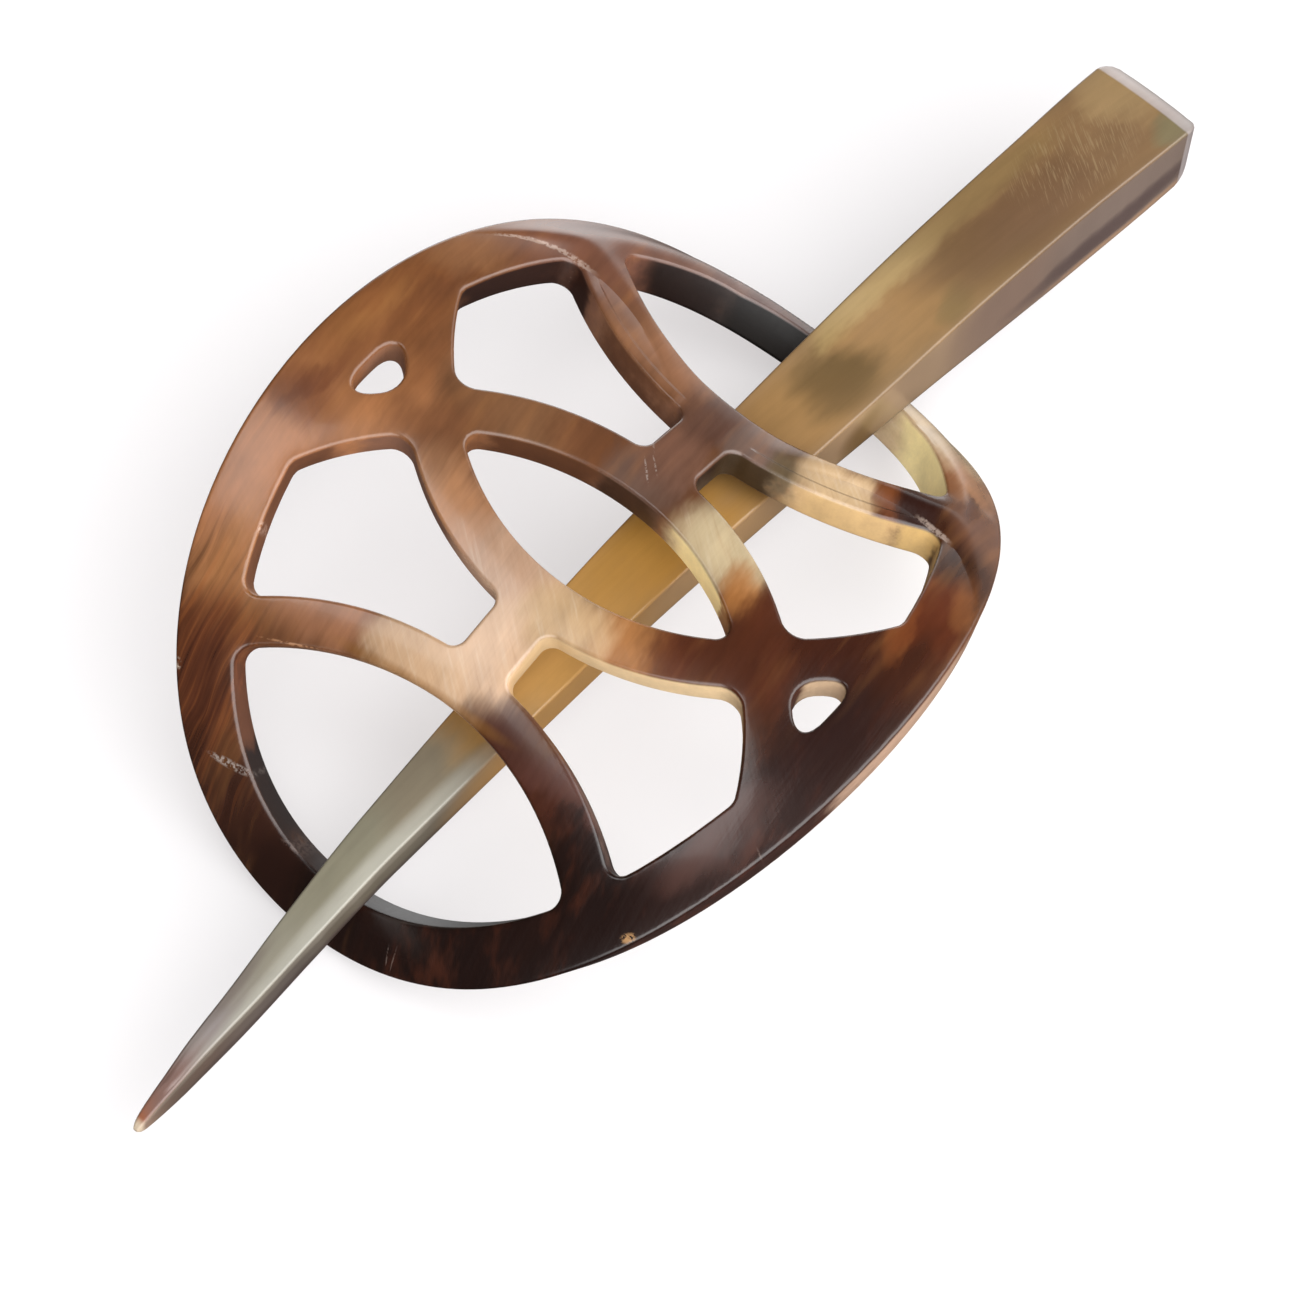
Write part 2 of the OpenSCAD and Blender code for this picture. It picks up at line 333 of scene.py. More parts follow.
# %% [markdown]
# ## Raised end and arch
#
# The maker heats flat horn and bends it. Here each point of the blank keeps its place in the flat pattern as an
# attribute, which the finish uses later, and then moves: first up, beyond the crease at the butt's end, and then
# round the arch, whose slope grows with the distance from the crown. Both ends are cut flat where they stand.

# %% Raise the end and bend the plate
ridge_height, shoulder, outline_slope = 1.0, 3.5, 5
foot_trim, middle_x = 0.6, 4.05


def ramp(value, a, b):
    t = np.clip((value - a) / (b - a), 0, 1)
    return t * t * (3 - 2 * t)


def relief(u, v):
    q = abs(v)
    beyond = u - crease_reach + crease_bow(q)
    round_top = 1 - (1 - np.clip(beyond / shoulder, 0, 1)) ** 2
    fade = np.maximum(ramp(q, 4, 16), ramp(u, 38, 46)) * ramp(-rim(u, q), 0, outline_slope)
    return np.where(u > 0, ridge_height * round_top * fade, 0)


def worn(u, v, raised):
    """How far the polish has lowered the face beside its edges, most of all on the raised end."""
    p, q = abs(u), abs(v)
    openings = np.minimum(np.minimum(lens_opening(p, q), side_opening(p, q)),
                          np.minimum(end_opening(p, q), small_opening(p, q)))
    inside = np.minimum(-rim(p, q), openings)
    return (0.1 + 0.25 * raised) * np.clip(1 - (inside - edge) / 2.4, 0, 1) ** 2


def notch(u, v):
    """The small hollow beyond one tip of the end opening, between the raised band and the rim."""
    along, across = (u - 36) * 0.35 + (v + 24.4) * 0.94, (u - 36) * 0.94 - (v + 24.4) * 0.35
    return 0.35 * ramp(1 - np.hypot(along / 2.6, across / 1.5), 0, 1)


arch_step = 0.05
arch_steps = np.arange(0, half_length + 2, arch_step)


def arch_slope(s):
    return np.radians(0.929 * s + 0.00009 * s**3)


def arch_point(s):
    middles = arch_slope(arch_steps[:-1] + arch_step / 2)
    x = np.concatenate([[0], np.cumsum(arch_step * np.cos(middles))])
    z = np.concatenate([[0], np.cumsum(-arch_step * np.sin(middles))])
    return np.interp(s, arch_steps, x), np.interp(s, arch_steps, z)


crown_z = math.cos(arch_slope(half_length)) * (thickness - edge) - arch_point(half_length)[1] - foot_trim

flat = points_of(plate)
plate.data.attributes.new("flat", "FLOAT_VECTOR", "POINT").data.foreach_set("vector", flat.ravel())
u, v, h = flat.T
past_crease = np.clip(u - crease_reach + crease_bow(abs(v)), -5, 5)
plate.data.attributes.new("past_crease", "FLOAT", "POINT").data.foreach_set("value", past_crease)
raised = relief(u, v)
h = np.where(h > thickness / 2, h + raised - worn(u, v, raised) - notch(u, v), h)
x, z = arch_point(abs(u))
slope = arch_slope(abs(u))
bent = np.column_stack([
    np.sign(u) * (x + np.sin(slope) * (h - thickness)) - middle_x,
    v,
    np.maximum(0, crown_z + z + np.cos(slope) * (h - thickness))])
put_points(plate, bent * MM)
start_clean()
bpy.context.view_layer.objects.active = plate
plate.select_set(True)
bpy.ops.object.shade_smooth_by_angle(angle=math.radians(26))
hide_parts("plate")
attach(plate, "plate")

# %% [markdown]
# ## The stick
#
# The real stick is one long sliver of horn with four faces: a flat top with crisp edges, plain sides, and an
# underside whose edges are well rounded so that it slides through hair. Its width and height change along the way, as
# a short table says, and smooth curves join the rows. One ring of points is shaped to the section at the tip, and it
# is extruded from station to station and shaped again, as one would loft it by hand.

# %% Sections of the stick
# Columns: x, y of the middle, width, and the heights of the underside and the top above the line of rest
stick_sections = np.array([
    (-75.2, -3.7, 0.5, 1.3, 1.8),
    (-74.8, -3.7, 0.9, 0.8, 2.3),
    (-74.0, -3.7, 1.2, 0.5, 2.9),
    (-70.0, -3.7, 1.8, 0.1, 4.5),
    (-66.0, -3.6, 2.3, 0.0, 5.6),
    (-61.0, -3.5, 2.8, 0.0, 6.2),
    (-49.0, -2.8, 4.1, 0.0, 6.5),
    (-36.0, -2.2, 5.3, 0.0, 6.6),
    (-20.0, -2.1, 6.7, 0.0, 6.9),
    (0.0, -2.3, 8.0, 0.0, 7.5),
    (19.0, -3.1, 9.4, 0.0, 7.9),
    (37.0, -4.5, 10.5, 0.0, 9.8),
    (45.0, -5.3, 10.8, 0.0, 11.2),
    (53.0, -6.2, 11.1, 0.0, 12.4),
    (65.0, -7.5, 11.5, 0.0, 13.3),
    (80.0, -8.7, 12.3, 0.0, 12.3),
    (81.2, -8.8, 11.9, 0.4, 11.7),
    (82.5, -8.9, 10.3, 1.5, 10.4),
    (83.3, -8.9, 6.7, 3.4, 8.4)])
low_edge_radius, top_edge_radius, crown_height = 1.8, 0.3, 0.3
rest_start, rest_rise = (-41.138, 6.924), 0.0204
butt_x = 80.0


def smooth_between(x, xs, ys):
    """A smooth curve through the rows that rises or falls only where the rows do."""
    steps, rises = np.diff(xs), np.diff(ys) / np.diff(xs)
    slopes = np.concatenate([[rises[0]], np.zeros(len(rises) - 1), [rises[-1]]])
    same_way = rises[1:] * rises[:-1] > 0
    slopes[1:-1][same_way] = 2 / (1 / rises[1:][same_way] + 1 / rises[:-1][same_way])
    k = np.clip(np.searchsorted(xs, x, side="right") - 1, 0, len(steps) - 1)
    t = (x - xs[k]) / steps[k]
    return ((1 + 2 * t) * (1 - t) ** 2 * ys[k] + t * (1 - t) ** 2 * steps[k] * slopes[k]
            + t**2 * (3 - 2 * t) * ys[k + 1] - t**2 * (1 - t) * steps[k] * slopes[k + 1])


def corner(y, z, radius, start, support):
    """A round of the section, with a point on the flat before and after it that keeps the flats' shading even."""
    angles = [math.radians(start + 22.5 * k) for k in range(5)]
    arc = [(y + radius * math.cos(a), z + radius * math.sin(a)) for a in angles]
    first, last = angles[0] - math.pi / 2, angles[-1] + math.pi / 2
    return [(arc[0][0] + support * math.cos(first), arc[0][1] + support * math.sin(first)), *arc,
            (arc[-1][0] + support * math.cos(last), arc[-1][1] + support * math.sin(last))]


def section(x):
    """The ring of points of the stick's section at x, as [y, z]."""
    y, width, under, top = (smooth_between(x, stick_sections[:, 0], stick_sections[:, k]) for k in (1, 2, 3, 4))
    tall = top - under
    low, high = min(low_edge_radius, 0.38 * width, 0.38 * tall), min(top_edge_radius, 0.3 * width, 0.3 * tall)
    crown, support = crown_height * width / 12, min(0.3, 0.06 * width)
    left, right = y - width / 2, y + width / 2
    crown_line = [(y + share * width, top - crown * (2 * share) ** 2) for share in (0.25, 0, -0.25)]
    ring = (corner(right - high, top - crown - high, high, 0, support) + crown_line
            + corner(left + high, top - crown - high, high, 90, support)
            + corner(left + low, under + low, low, 180, support)
            + corner(right - low, under + low, low, 270, support))
    rest = rest_start[1] + rest_rise * (x - rest_start[0])
    return [(y, z + rest) for y, z in ring]


stations = np.unique(np.concatenate([stick_sections[:, 0], np.arange(-73, 80, 1.5), [-75.0, -74.4, 80.6, 81.9, 82.9]]))
print("stations along the stick:", len(stations), "points in a ring:", len(section(0.0)))

# %% [markdown]
# ## Lofting the stick
#
# The ring starts as a circle primitive. Each extrusion leaves a new ring selected, whose points are found again by
# their order and moved to the next section. Both ends are closed with a face. The line round the butt, where the
# polished faces meet its domed end, is crisp on the real stick, so its edges are marked sharp.

# %% Extrude the rings
ring_size = len(section(0.0))


def ring_points(x):
    return np.array([(x - middle_x, y, z) for y, z in section(x)])


start_clean()
bpy.ops.mesh.primitive_circle_add(vertices=ring_size, radius=1)
stick = bpy.context.object
stick.name = stick.data.name = "hair_stick"
put_points(stick, ring_points(stations[0]))
for k, x in enumerate(stations[1:], 1):
    edit(stick, "EDGE")
    if k == 1:
        bpy.ops.mesh.select_all(action="SELECT")
    bpy.ops.mesh.extrude_region_move()
    leave_edit()
    places = points_of(stick)
    new = places[-ring_size:]
    order = [int(np.argmin(np.linalg.norm(ring_points(stations[k - 1]) - place, axis=1))) for place in new]
    places[-ring_size:] = ring_points(x)[order]
    put_points(stick, places)

edit(stick, "EDGE")
bpy.ops.mesh.edge_face_add()
bpy.ops.mesh.select_all(action="DESELECT")
bpy.ops.mesh.select_non_manifold()
bpy.ops.mesh.edge_face_add()
bpy.ops.mesh.select_all(action="SELECT")
bpy.ops.mesh.normals_make_consistent(inside=False)
leave_edit()
places = points_of(stick)
x = places[:, 0] + middle_x
middle, under, top = (smooth_between(x, stick_sections[:, 0], stick_sections[:, k]) for k in (1, 3, 4))
share = (places[:, 2] - rest_start[1] - rest_rise * (x - rest_start[0]) - under) / (top - under)
for name, columns in (("top_place", (x, places[:, 1] - middle, share)), ("side_place", (x, 10 * share, 0 * x))):
    values = np.column_stack(columns).ravel()
    stick.data.attributes.new(name, "FLOAT_VECTOR", "POINT").data.foreach_set("vector", values)
put_points(stick, places * MM)
start_clean()
bpy.context.view_layer.objects.active = stick
stick.select_set(True)
bpy.ops.object.shade_smooth_by_angle(angle=math.radians(32))
butt_line = (butt_x - middle_x) * MM
sharp = stick.data.attributes.get("sharp_edge") or stick.data.attributes.new("sharp_edge", "BOOLEAN", "EDGE")
for line in stick.data.edges:
    a, b = (stick.data.vertices[n].co.x for n in line.vertices)
    if abs(a - butt_line) < 1e-6 and abs(b - butt_line) < 1e-6:
        sharp.data[line.index].value = True
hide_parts("stick")
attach(stick, "stick")
print("stick: points", len(stick.data.vertices), "faces", len(stick.data.polygons))

# %% [markdown]
# ## Shader sums in Python
#
# The horn's colours are built from masks and noise, which need many small sums. The class below wraps the output of a
# shader node, so that a sum written in Python adds the Math nodes by itself. Any other node comes from `node`, which
# sets the node's settings first and then gives its sockets their values or links.

# %% A class for shader sums
class Signal:
    def __init__(self, tree, socket):
        self.tree, self.socket = tree, socket

    def node(self, kind, settings=None, sockets=None, output=0):
        made = self.tree.nodes.new(kind)
        for name, value in (settings or {}).items():
            if name == "stops":
                for _ in value[2:]:
                    made.color_ramp.elements.new(1)
                for stop, (place, shade) in zip(made.color_ramp.elements, value):
                    stop.position, stop.color = place, shade
            else:
                setattr(made, name, value)
        for name, value in (sockets or {}).items():
            if isinstance(value, Signal):
                self.tree.links.new(value.socket, made.inputs[name])
            else:
                made.inputs[name].default_value = value
        return Signal(self.tree, made.outputs[output])

    def sum(self, operation, *others):
        return self.node("ShaderNodeMath", {"operation": operation}, dict(enumerate((self, *others))))

    def __add__(self, other):
        return self.sum("ADD", other)

    def __sub__(self, other):
        return self.sum("SUBTRACT", other)

    def __mul__(self, other):
        return self.sum("MULTIPLY", other)

    def __rsub__(self, other):
        return self.node("ShaderNodeMath", {"operation": "SUBTRACT"}, {0: other, 1: self})

    def __pow__(self, other):
        return self.sum("POWER", other)

    __radd__, __rmul__ = __add__, __mul__

    def top(self, other):
        return self.sum("MAXIMUM", other)

    def dot(self, way):
        return self.node("ShaderNodeVectorMath", {"operation": "DOT_PRODUCT"}, {0: self, 1: way}, "Value")

    def between(self, low, high):
        """0 up to low and 1 from high on, with a smooth change."""
        return self.node("ShaderNodeMapRange", {"interpolation_type": "SMOOTHSTEP"},
                         {"Value": self, "From Min": low, "From Max": high})


# %% [markdown]
# ## Colour laid in patches
#
# Horn is layered like hair: pale and dark clouds, drawn out into streaks along the grain. A finish is painted the way
# one would lay glazes: a base colour, then soft patches one over the other, each with a place, a size, a turn and a
# colour. The patches' borders are pulled about by stretched noise, so that they end in fine strokes along the grain
# and never as a clean oval.

# %% Helpers for painting
def colour(red, green, blue):
    """A colour named by its values on a screen, from 0 to 255, as the shader needs it."""
    return tuple((c / 255 / 12.92 if c < 11 else ((c / 255 + 0.055) / 1.055) ** 2.4) for c in (red, green, blue)) + (1,)


def new_finish(name):
    finish = bpy.data.materials.new(name)
    finish.use_nodes = True
    return finish, finish.node_tree, finish.node_tree.nodes["Principled BSDF"]


def named_place(tree, name):
    """The places that the mesh carries under that name."""
    made = tree.nodes.new("ShaderNodeAttribute")
    made.attribute_name = name
    return Signal(tree, made.outputs["Vector"])


def stretched_noise(place, turn, length, width, detail=3.0, seed=0.0):
    """Noise whose grains are that long and wide in millimetres, turned by an angle in degrees."""
    turned = place.node("ShaderNodeMapping", {"vector_type": "TEXTURE"},
                        {"Vector": place, "Location": (seed, seed, 0), "Rotation": (0, 0, math.radians(turn)),
                         "Scale": (length, width, width)})
    return turned.node("ShaderNodeTexNoise", {}, {"Vector": turned, "Scale": 1.0, "Detail": detail, "Roughness": 0.6})


def patch(place, middle, half_long, half_wide, turn, strength=1.0, soft=0.85):
    """The strength in the middle of a soft oval and 0 outside it."""
    shift = place.node("ShaderNodeVectorMath", {"operation": "SUBTRACT"}, {0: place, 1: (*middle, 0)})
    cos, sin = math.cos(math.radians(turn)), math.sin(math.radians(turn))
    along = shift.dot((cos / half_long, sin / half_long, 0))
    across = shift.dot((-sin / half_wide, cos / half_wide, 0))
    away = along * along + across * across
    return away.node("ShaderNodeMapRange", {"interpolation_type": "SMOOTHSTEP"},
                     {"Value": away, "From Min": (1 - soft) ** 2, "From Max": (1 + 0.4 * soft) ** 2,
                      "To Min": strength, "To Max": 0.0})


def mix(below, above, share):
    """One colour over another."""
    return share.node("ShaderNodeMix", {"data_type": "RGBA"}, {0: share, 6: below, 7: above}, 2)


def lay(paint, place, patches, soft, mask=None):
    """The paint with a table's patches laid over it, one after the other, where the mask allows them."""
    for u0, v0, half_long, half_wide, turn, shade, strength in patches:
        share = patch(place, (u0, v0), half_long, half_wide, turn, strength, soft)
        paint = mix(paint, colour(*shade), share if mask is None else share * mask)
    return paint


def moved(place, noise, along, turn):
    """The place, pushed by noise along one direction by so many millimetres."""
    push = (noise - 0.5) * along
    way = (math.cos(math.radians(turn)), math.sin(math.radians(turn)), 0)
    step = push.node("ShaderNodeVectorMath", {"operation": "SCALE"}, {0: way, "Scale": push})
    return step.node("ShaderNodeVectorMath", {"operation": "ADD"}, {0: place, 1: step})


# %% [markdown]
# ## The plate's horn
#
# The plate goes from amber at the top through cream in the middle to nearly black at the bottom left, as the real
# piece does. Its paint is laid on the flat pattern, in millimetres: `u` along the arch and `v` across it. First come
# the noises: slow clouds and smoke, thin lines along the grain, and the short lines that brushing leaves. The place
# is pushed about by them before a patch is laid, so the patches get borders like smoke.

# %% Noises of the plate
plate_horn, tree, shader = new_finish("plate_horn")
here = named_place(tree, "flat")
height = here.node("ShaderNodeSeparateXYZ", {}, {0: here}, "Z")
side = here.node("ShaderNodeSeparateXYZ", {}, {0: here}, "Y")
walls = 1 - height.between(thickness - edge, thickness - 0.1)
clouds = stretched_noise(here, 12, 14, 6, detail=2, seed=4)
smoke = stretched_noise(here, 20, 7, 3, detail=3, seed=23)
strokes = stretched_noise(here, 52, 6, 0.6, detail=2, seed=17)
fine = stretched_noise(here, 6, 9, 0.3, detail=3, seed=9)
broken = stretched_noise(here, 0, 0.4, 0.4, detail=2, seed=5)
wavy = moved(here, clouds, 2.5, 100)
streaks = stretched_noise(wavy, 8, 14, 2.4, detail=2, seed=31)
hairs = stretched_noise(wavy, 7, 18, 0.6, detail=2, seed=12)
pulled = moved(moved(moved(wavy, clouds, 7, 12), smoke, 4, 100), hairs, 1.6, 8)

# %% [markdown]
# The brown horn changes in large soft clouds. Toward the top left it is drawn out into thin straight lines of orange
# and dark brown. The black corner has only a few reddish clouds. Three paler patches are painted sheen, where the low
# rim, the band at the tip's end and the rim at the butt's end catch light, and one dark patch is painted shade in the
# small hollow at the raised end.

# %% Brown clouds, painted sheen and painted shade
# Columns: u, v, half length, half width, turn, colour, strength
brown_sheen_and_shade_patches = [
    (-15, 33, 16, 7, 4, (184, 124, 84), 0.9),
    (-3, 25.5, 6, 5, 20, (184, 124, 80), 0.9),
    (12, 33, 22, 6, -8, (132, 82, 46), 0.9),
    (14, 30.5, 6, 1.6, -12, (104, 62, 38), 0.5),
    (5, 34, 5, 1.4, 0, (160, 108, 62), 0.6),
    (-8, 33, 3.2, 4, 0, (118, 68, 38), 0.75),
    (-5.5, 33.2, 5, 0.9, -8, (112, 64, 38), 0.8),
    (3, 29, 7, 5, 0, (140, 88, 52), 0.7),
    (19, 32.5, 5, 3, -20, (146, 100, 66), 0.8),
    (-26.5, 27, 6, 5, 20, (166, 112, 70), 0.9),
    (-33, 25, 5, 5, 20, (112, 62, 34), 0.9),
    (-39, 22.5, 9, 6, 30, (92, 49, 29), 0.95),
    (-48, 12, 8, 12, 10, (66, 36, 25), 0.95),
    (-50, 0, 6, 12, 0, (50, 26, 18), 0.95),
    (-45, -15, 13, 18, 15, (27, 14, 11), 1.0),
    (-31, -27, 22, 11, -18, (32, 15, 11), 1.0),
    (-25.5, -13, 4, 13, 8, (72, 34, 22), 0.95),
    (-27, -21, 5, 5, 20, (28, 12, 8), 0.95),
    (-12, -33, 19, 7, 0, (48, 27, 22), 1.0),
    # painted sheen where the low rim catches light
    (-17, -31, 8, 2.4, -10, (96, 64, 56), 0.8),
    # painted sheen along the band at the tip's end
    (-23.8, -12, 1.8, 9, 12, (104, 64, 54), 0.6),
    (-23, 17, 4, 6, 15, (164, 112, 80), 0.9),
    (-7.5, 14.5, 5, 8, 12, (188, 136, 98), 0.9),
    (-3, 21.5, 3.5, 4, 0, (128, 82, 52), 0.8),
    (-7, -10, 4.5, 5, -15, (186, 126, 74), 0.95),
    (-4.5, -15, 4.5, 3.5, 0, (98, 48, 26), 0.9),
    (-1, -22, 8, 7, 20, (80, 38, 20), 0.95),
    (3, -32, 13, 6, 0, (50, 28, 24), 0.9),
    (7, -26, 6, 5, 0, (66, 29, 16), 0.9),
    (13, -32, 8, 5, 12, (78, 38, 20), 0.9),
    (18, -30, 6, 4, 15, (106, 50, 24), 0.9),
    (12.5, -30, 4.5, 1.4, 25, (142, 78, 38), 0.7),
    (21.5, -32, 4, 1.5, 28, (150, 92, 50), 0.7),
    (27, -22, 5, 6, 40, (58, 26, 13), 0.95),
    (25.5, -28.5, 3.5, 3.6, 30, (48, 26, 20), 0.9),
    (34, -27, 7, 4.5, 30, (124, 84, 64), 0.9),
    (39.5, -19.5, 6, 4, 50, (198, 142, 98), 0.85),
    (36.5, -18.9, 3.6, 2, 50, (138, 80, 40), 0.85),
    (7, 15, 5, 9, 12, (138, 96, 64), 0.8),
    (9, 7, 4.5, 5, 10, (116, 72, 44), 0.85),
    (8, 1, 5, 4, 0, (116, 90, 78), 0.85),
    (14, 1, 5, 3.5, 15, (126, 88, 70), 0.9),
    (24, 11, 4, 9, -12, (168, 118, 86), 0.9),
    (26, 18, 3, 5, -25, (118, 78, 56), 0.8),
    (21.5, 0.5, 4, 4.5, 0, (100, 68, 54), 0.95),
    (21, -4.5, 3.5, 3, 10, (122, 100, 90), 0.9),
    (20.5, -8.5, 3.5, 2.2, 15, (106, 90, 66), 0.9),
    (34, 24, 12, 9, -25, (128, 84, 66), 0.9),
    # painted sheen on the rim at the butt's end
    (48, 8, 8, 14, 0, (148, 120, 112), 0.95),
    # painted shade in the small hollow beyond the end opening's tip
    (34.3, -24.2, 2.2, 1.3, 20, (82, 42, 22), 0.9),
]
paint = mix(colour(124, 80, 50), colour(100, 62, 38), clouds.between(0.35, 0.65))
paint = lay(paint, pulled, brown_sheen_and_shade_patches, 0.95)
drawn_out = patch(here, (-37, 24), 15, 7.5, 32)
black_corner = patch(here, (-30, -24), 42, 17, -22, 1.0, 0.6)
paint = mix(paint, colour(46, 22, 13), streaks.between(0.42, 0.78) * (drawn_out * 0.35 + 0.2))
paint = mix(paint, colour(46, 22, 13), hairs.between(0.45, 0.75) * (drawn_out * 0.5 + 0.06))
paint = mix(paint, colour(196, 132, 76), (1 - streaks.between(0.22, 0.5)) * (1 - black_corner) * 0.18)
paint = mix(paint, colour(176, 104, 54), (1 - hairs.between(0.3, 0.5)) * drawn_out * 0.3)
paint = mix(paint, colour(92, 46, 28), smoke.between(0.5, 0.75) * black_corner * 0.4)

# %% [markdown]
# Cream horn lies at the heart of the plate and in two spots on its front right. Fine slanted strokes show where it
# was brushed. Amber and dark brown come over the cream's edges afterwards.

# %% Cream heart
cream_patches = [
    (-15, 1, 13, 6, 12, (222, 184, 150), 1.0),
    (-22, 6, 3.6, 5.5, 10, (216, 178, 140), 0.9),
    (-9, 6, 4.5, 6, 10, (190, 152, 126), 0.75),
    (-9.5, -4, 4, 4.5, 30, (214, 178, 134), 0.9),
    (8, -10, 5, 5, 40, (216, 194, 154), 0.95),
    (23.8, -13.6, 3.4, 4.2, 20, (224, 190, 146), 1.0),
    (43.5, -13, 6, 8, 50, (222, 194, 154), 0.95),
]
edge_patches = [
    (-23.6, -6, 4, 4.5, 10, (78, 42, 30), 1.0),
    (4.8, -15, 3.6, 2, 25, (176, 116, 62), 0.9),
    (4.5, -18.5, 4.5, 2.8, 20, (86, 42, 22), 1.0),
    (26.5, -18.5, 3, 2.2, 40, (126, 68, 32), 0.95),
    (27.5, -21.5, 3.4, 2.4, 40, (52, 22, 12), 1.0),
]
cream = None
for u0, v0, half_long, half_wide, turn, shade, strength in cream_patches:
    share = patch(pulled, (u0, v0), half_long, half_wide, turn, strength, 1.0)
    paint = mix(paint, colour(*shade), share)
    cream = share if cream is None else cream.top(share)
paint = mix(paint, colour(246, 230, 208), strokes.between(0.5, 0.8) * cream * 0.22)
paint = mix(paint, colour(164, 116, 76), (1 - strokes.between(0.2, 0.5)) * cream * 0.2)
paint = lay(paint, pulled, edge_patches, 1.0)
paint = mix(paint, colour(146, 98, 38), patch(here, (-24.2, 3), 0.9, 9, 6, 0.55, 1.0))

# %% [markdown]
# The sides of the openings are cut through layers that the top doesn't show, so they have colours of their own: dark
# brown at the back, cream and gold at the front. The bright cream and gold is partly painted light: it stands in for
# light that shines through the horn there.

# %% Sides of the openings
wall_colour_and_glow_patches = [
    (-42, 14, 6, 13, 0, (28, 13, 9), 1.0),
    (-38, 18.5, 4, 2.6, 40, (92, 54, 34), 0.8),
    (-43, -12, 6, 14, 0, (20, 11, 10), 1.0),
    (-17, 28, 14, 3, 10, (100, 62, 40), 1.0),
    (-7.5, 19, 3.5, 9, -20, (122, 84, 64), 1.0),
    (-15, -5, 6, 2.6, 0, (196, 164, 122), 1.0),
    (-9.5, -15, 7, 12, 20, (222, 192, 148), 1.0),
    (-24.5, -17, 2.2, 6, -20, (100, 76, 66), 0.9),
    (5, 12, 3.5, 9, 15, (82, 48, 26), 1.0),
    (6.5, 1, 2.5, 4, 0, (60, 36, 20), 1.0),
    (4.5, -11.2, 3.5, 6, -15, (250, 226, 164), 1.0),
    (2, -15.5, 2, 1.5, -30, (150, 96, 56), 0.9),
    (18, 13, 4, 11, -12, (96, 58, 34), 1.0),
    (20, 27, 10, 4, -12, (38, 20, 14), 1.0),
    (25, 22.5, 3, 2.6, 0, (48, 24, 14), 1.0),
    (14, -3.6, 4, 1.6, 0, (28, 12, 8), 1.0),
    (18.5, -5.5, 3, 3.6, 0, (56, 40, 22), 1.0),
    (21.5, -19, 4.5, 9.5, 15, (194, 160, 110), 1.0),
    (26.2, -23.4, 2.4, 2.2, 15, (200, 164, 104), 1.0),
    (36, 13, 8, 9, -50, (24, 8, 4), 1.0),
    (44.5, 6, 6, 9, 0, (10, 5, 4), 1.0),
    (33, -10, 2.5, 4, 0, (50, 26, 16), 1.0),
    (38, -17, 8.5, 8, 40, (255, 238, 176), 1.0),
    (2.5, 30, 4, 3, 0, (130, 90, 66), 1.0),
    (4, -28, 4, 3.5, 0, (196, 166, 134), 1.0),
    (6, -38.5, 24, 3, 4, (170, 138, 116), 0.95),
]
# partly painted glow: the bright cream and gold patches at the front stand in for light shining through the horn
paint = lay(paint, pulled, wall_colour_and_glow_patches, 0.4, walls)

# %% [markdown]
# The horn has been worn and worked: a rub and a few chips along the rim, short scratches, and a line of dots beside
# the tip's band. A bright broken line where the butt's end bends up at its crease is a painted highlight, light caught
# by the rough tool marks there.

# %% Wear and a painted highlight
marks = [
    (-42.7, 15.5, 2.6, 0.45, -80, (196, 182, 172), 0.75),
    (-45.8, 3.5, 0.4, 3.0, 3, (150, 128, 118), 0.6),
    (-45.5, -3.5, 0.4, 2.2, 0, (130, 112, 102), 0.6),
    (-27.6, 15, 5.6, 0.16, -66, (214, 160, 118), 0.55),
    (-49.2, -9.2, 1.3, 0.08, 18, (150, 134, 126), 0.4),
    (-48.9, -9.9, 1.5, 0.07, 10, (140, 126, 118), 0.35),
    (-31.2, -29.5, 0.8, 0.5, -40, (206, 158, 108), 0.9),
    (-37.5, 26.1, 0.6, 0.3, 35, (220, 200, 180), 0.9),
    (-21.0, 27.4, 0.7, 0.35, 10, (214, 180, 160), 0.8),
    (9.4, 1.2, 1.6, 0.12, 45, (206, 190, 180), 0.5),
    (10.6, 1.0, 1.3, 0.1, 48, (206, 190, 180), 0.45),
    (12.6, 2.8, 1.0, 0.1, 42, (200, 184, 174), 0.4),
    (36.5, -14.5, 3.0, 1.0, 60, (250, 240, 214), 0.6),
    (-16.5, -35.2, 1.0, 0.1, 60, (140, 120, 112), 0.4),
]
paint = lay(paint, here, marks, 0.7, broken.between(0.42, 0.56) * (1 - walls * 0.75))
past_crease = here.node("ShaderNodeAttribute", {"attribute_name": "past_crease"}, {}, "Fac")
near_crease = 1 - (past_crease.sum("ABSOLUTE") - broken * 0.5).between(-0.12, 0.14)
back_part = side.between(21, 24) * (1 - side.between(31, 33))
front_part = side.between(-26.5, -25) * (1 - side.between(-22.5, -21))
glint = near_crease * (back_part + front_part) * broken.between(0.3, 0.52)
# painted highlight: a bright broken line along the crease at the butt's end
paint = mix(paint, colour(222, 198, 182), glint * 0.5)

# %% [markdown]
# Polished horn is smooth but not perfectly so: its gloss changes a little along the grain, and the sawn sides of the
# openings are duller. The sides are also painted brighter, a painted glow for light that shines through the horn. A
# fine ledge runs down the butt's band, at 35.6 mm from the centre of that band's curve.

# %% Gloss of the plate
value = (1.0 + (fine - 0.5) * 0.18 + (strokes - 0.5) * 0.06 + (smoke - 0.5) * 0.6 + (clouds - 0.5) * 0.3) * 0.56
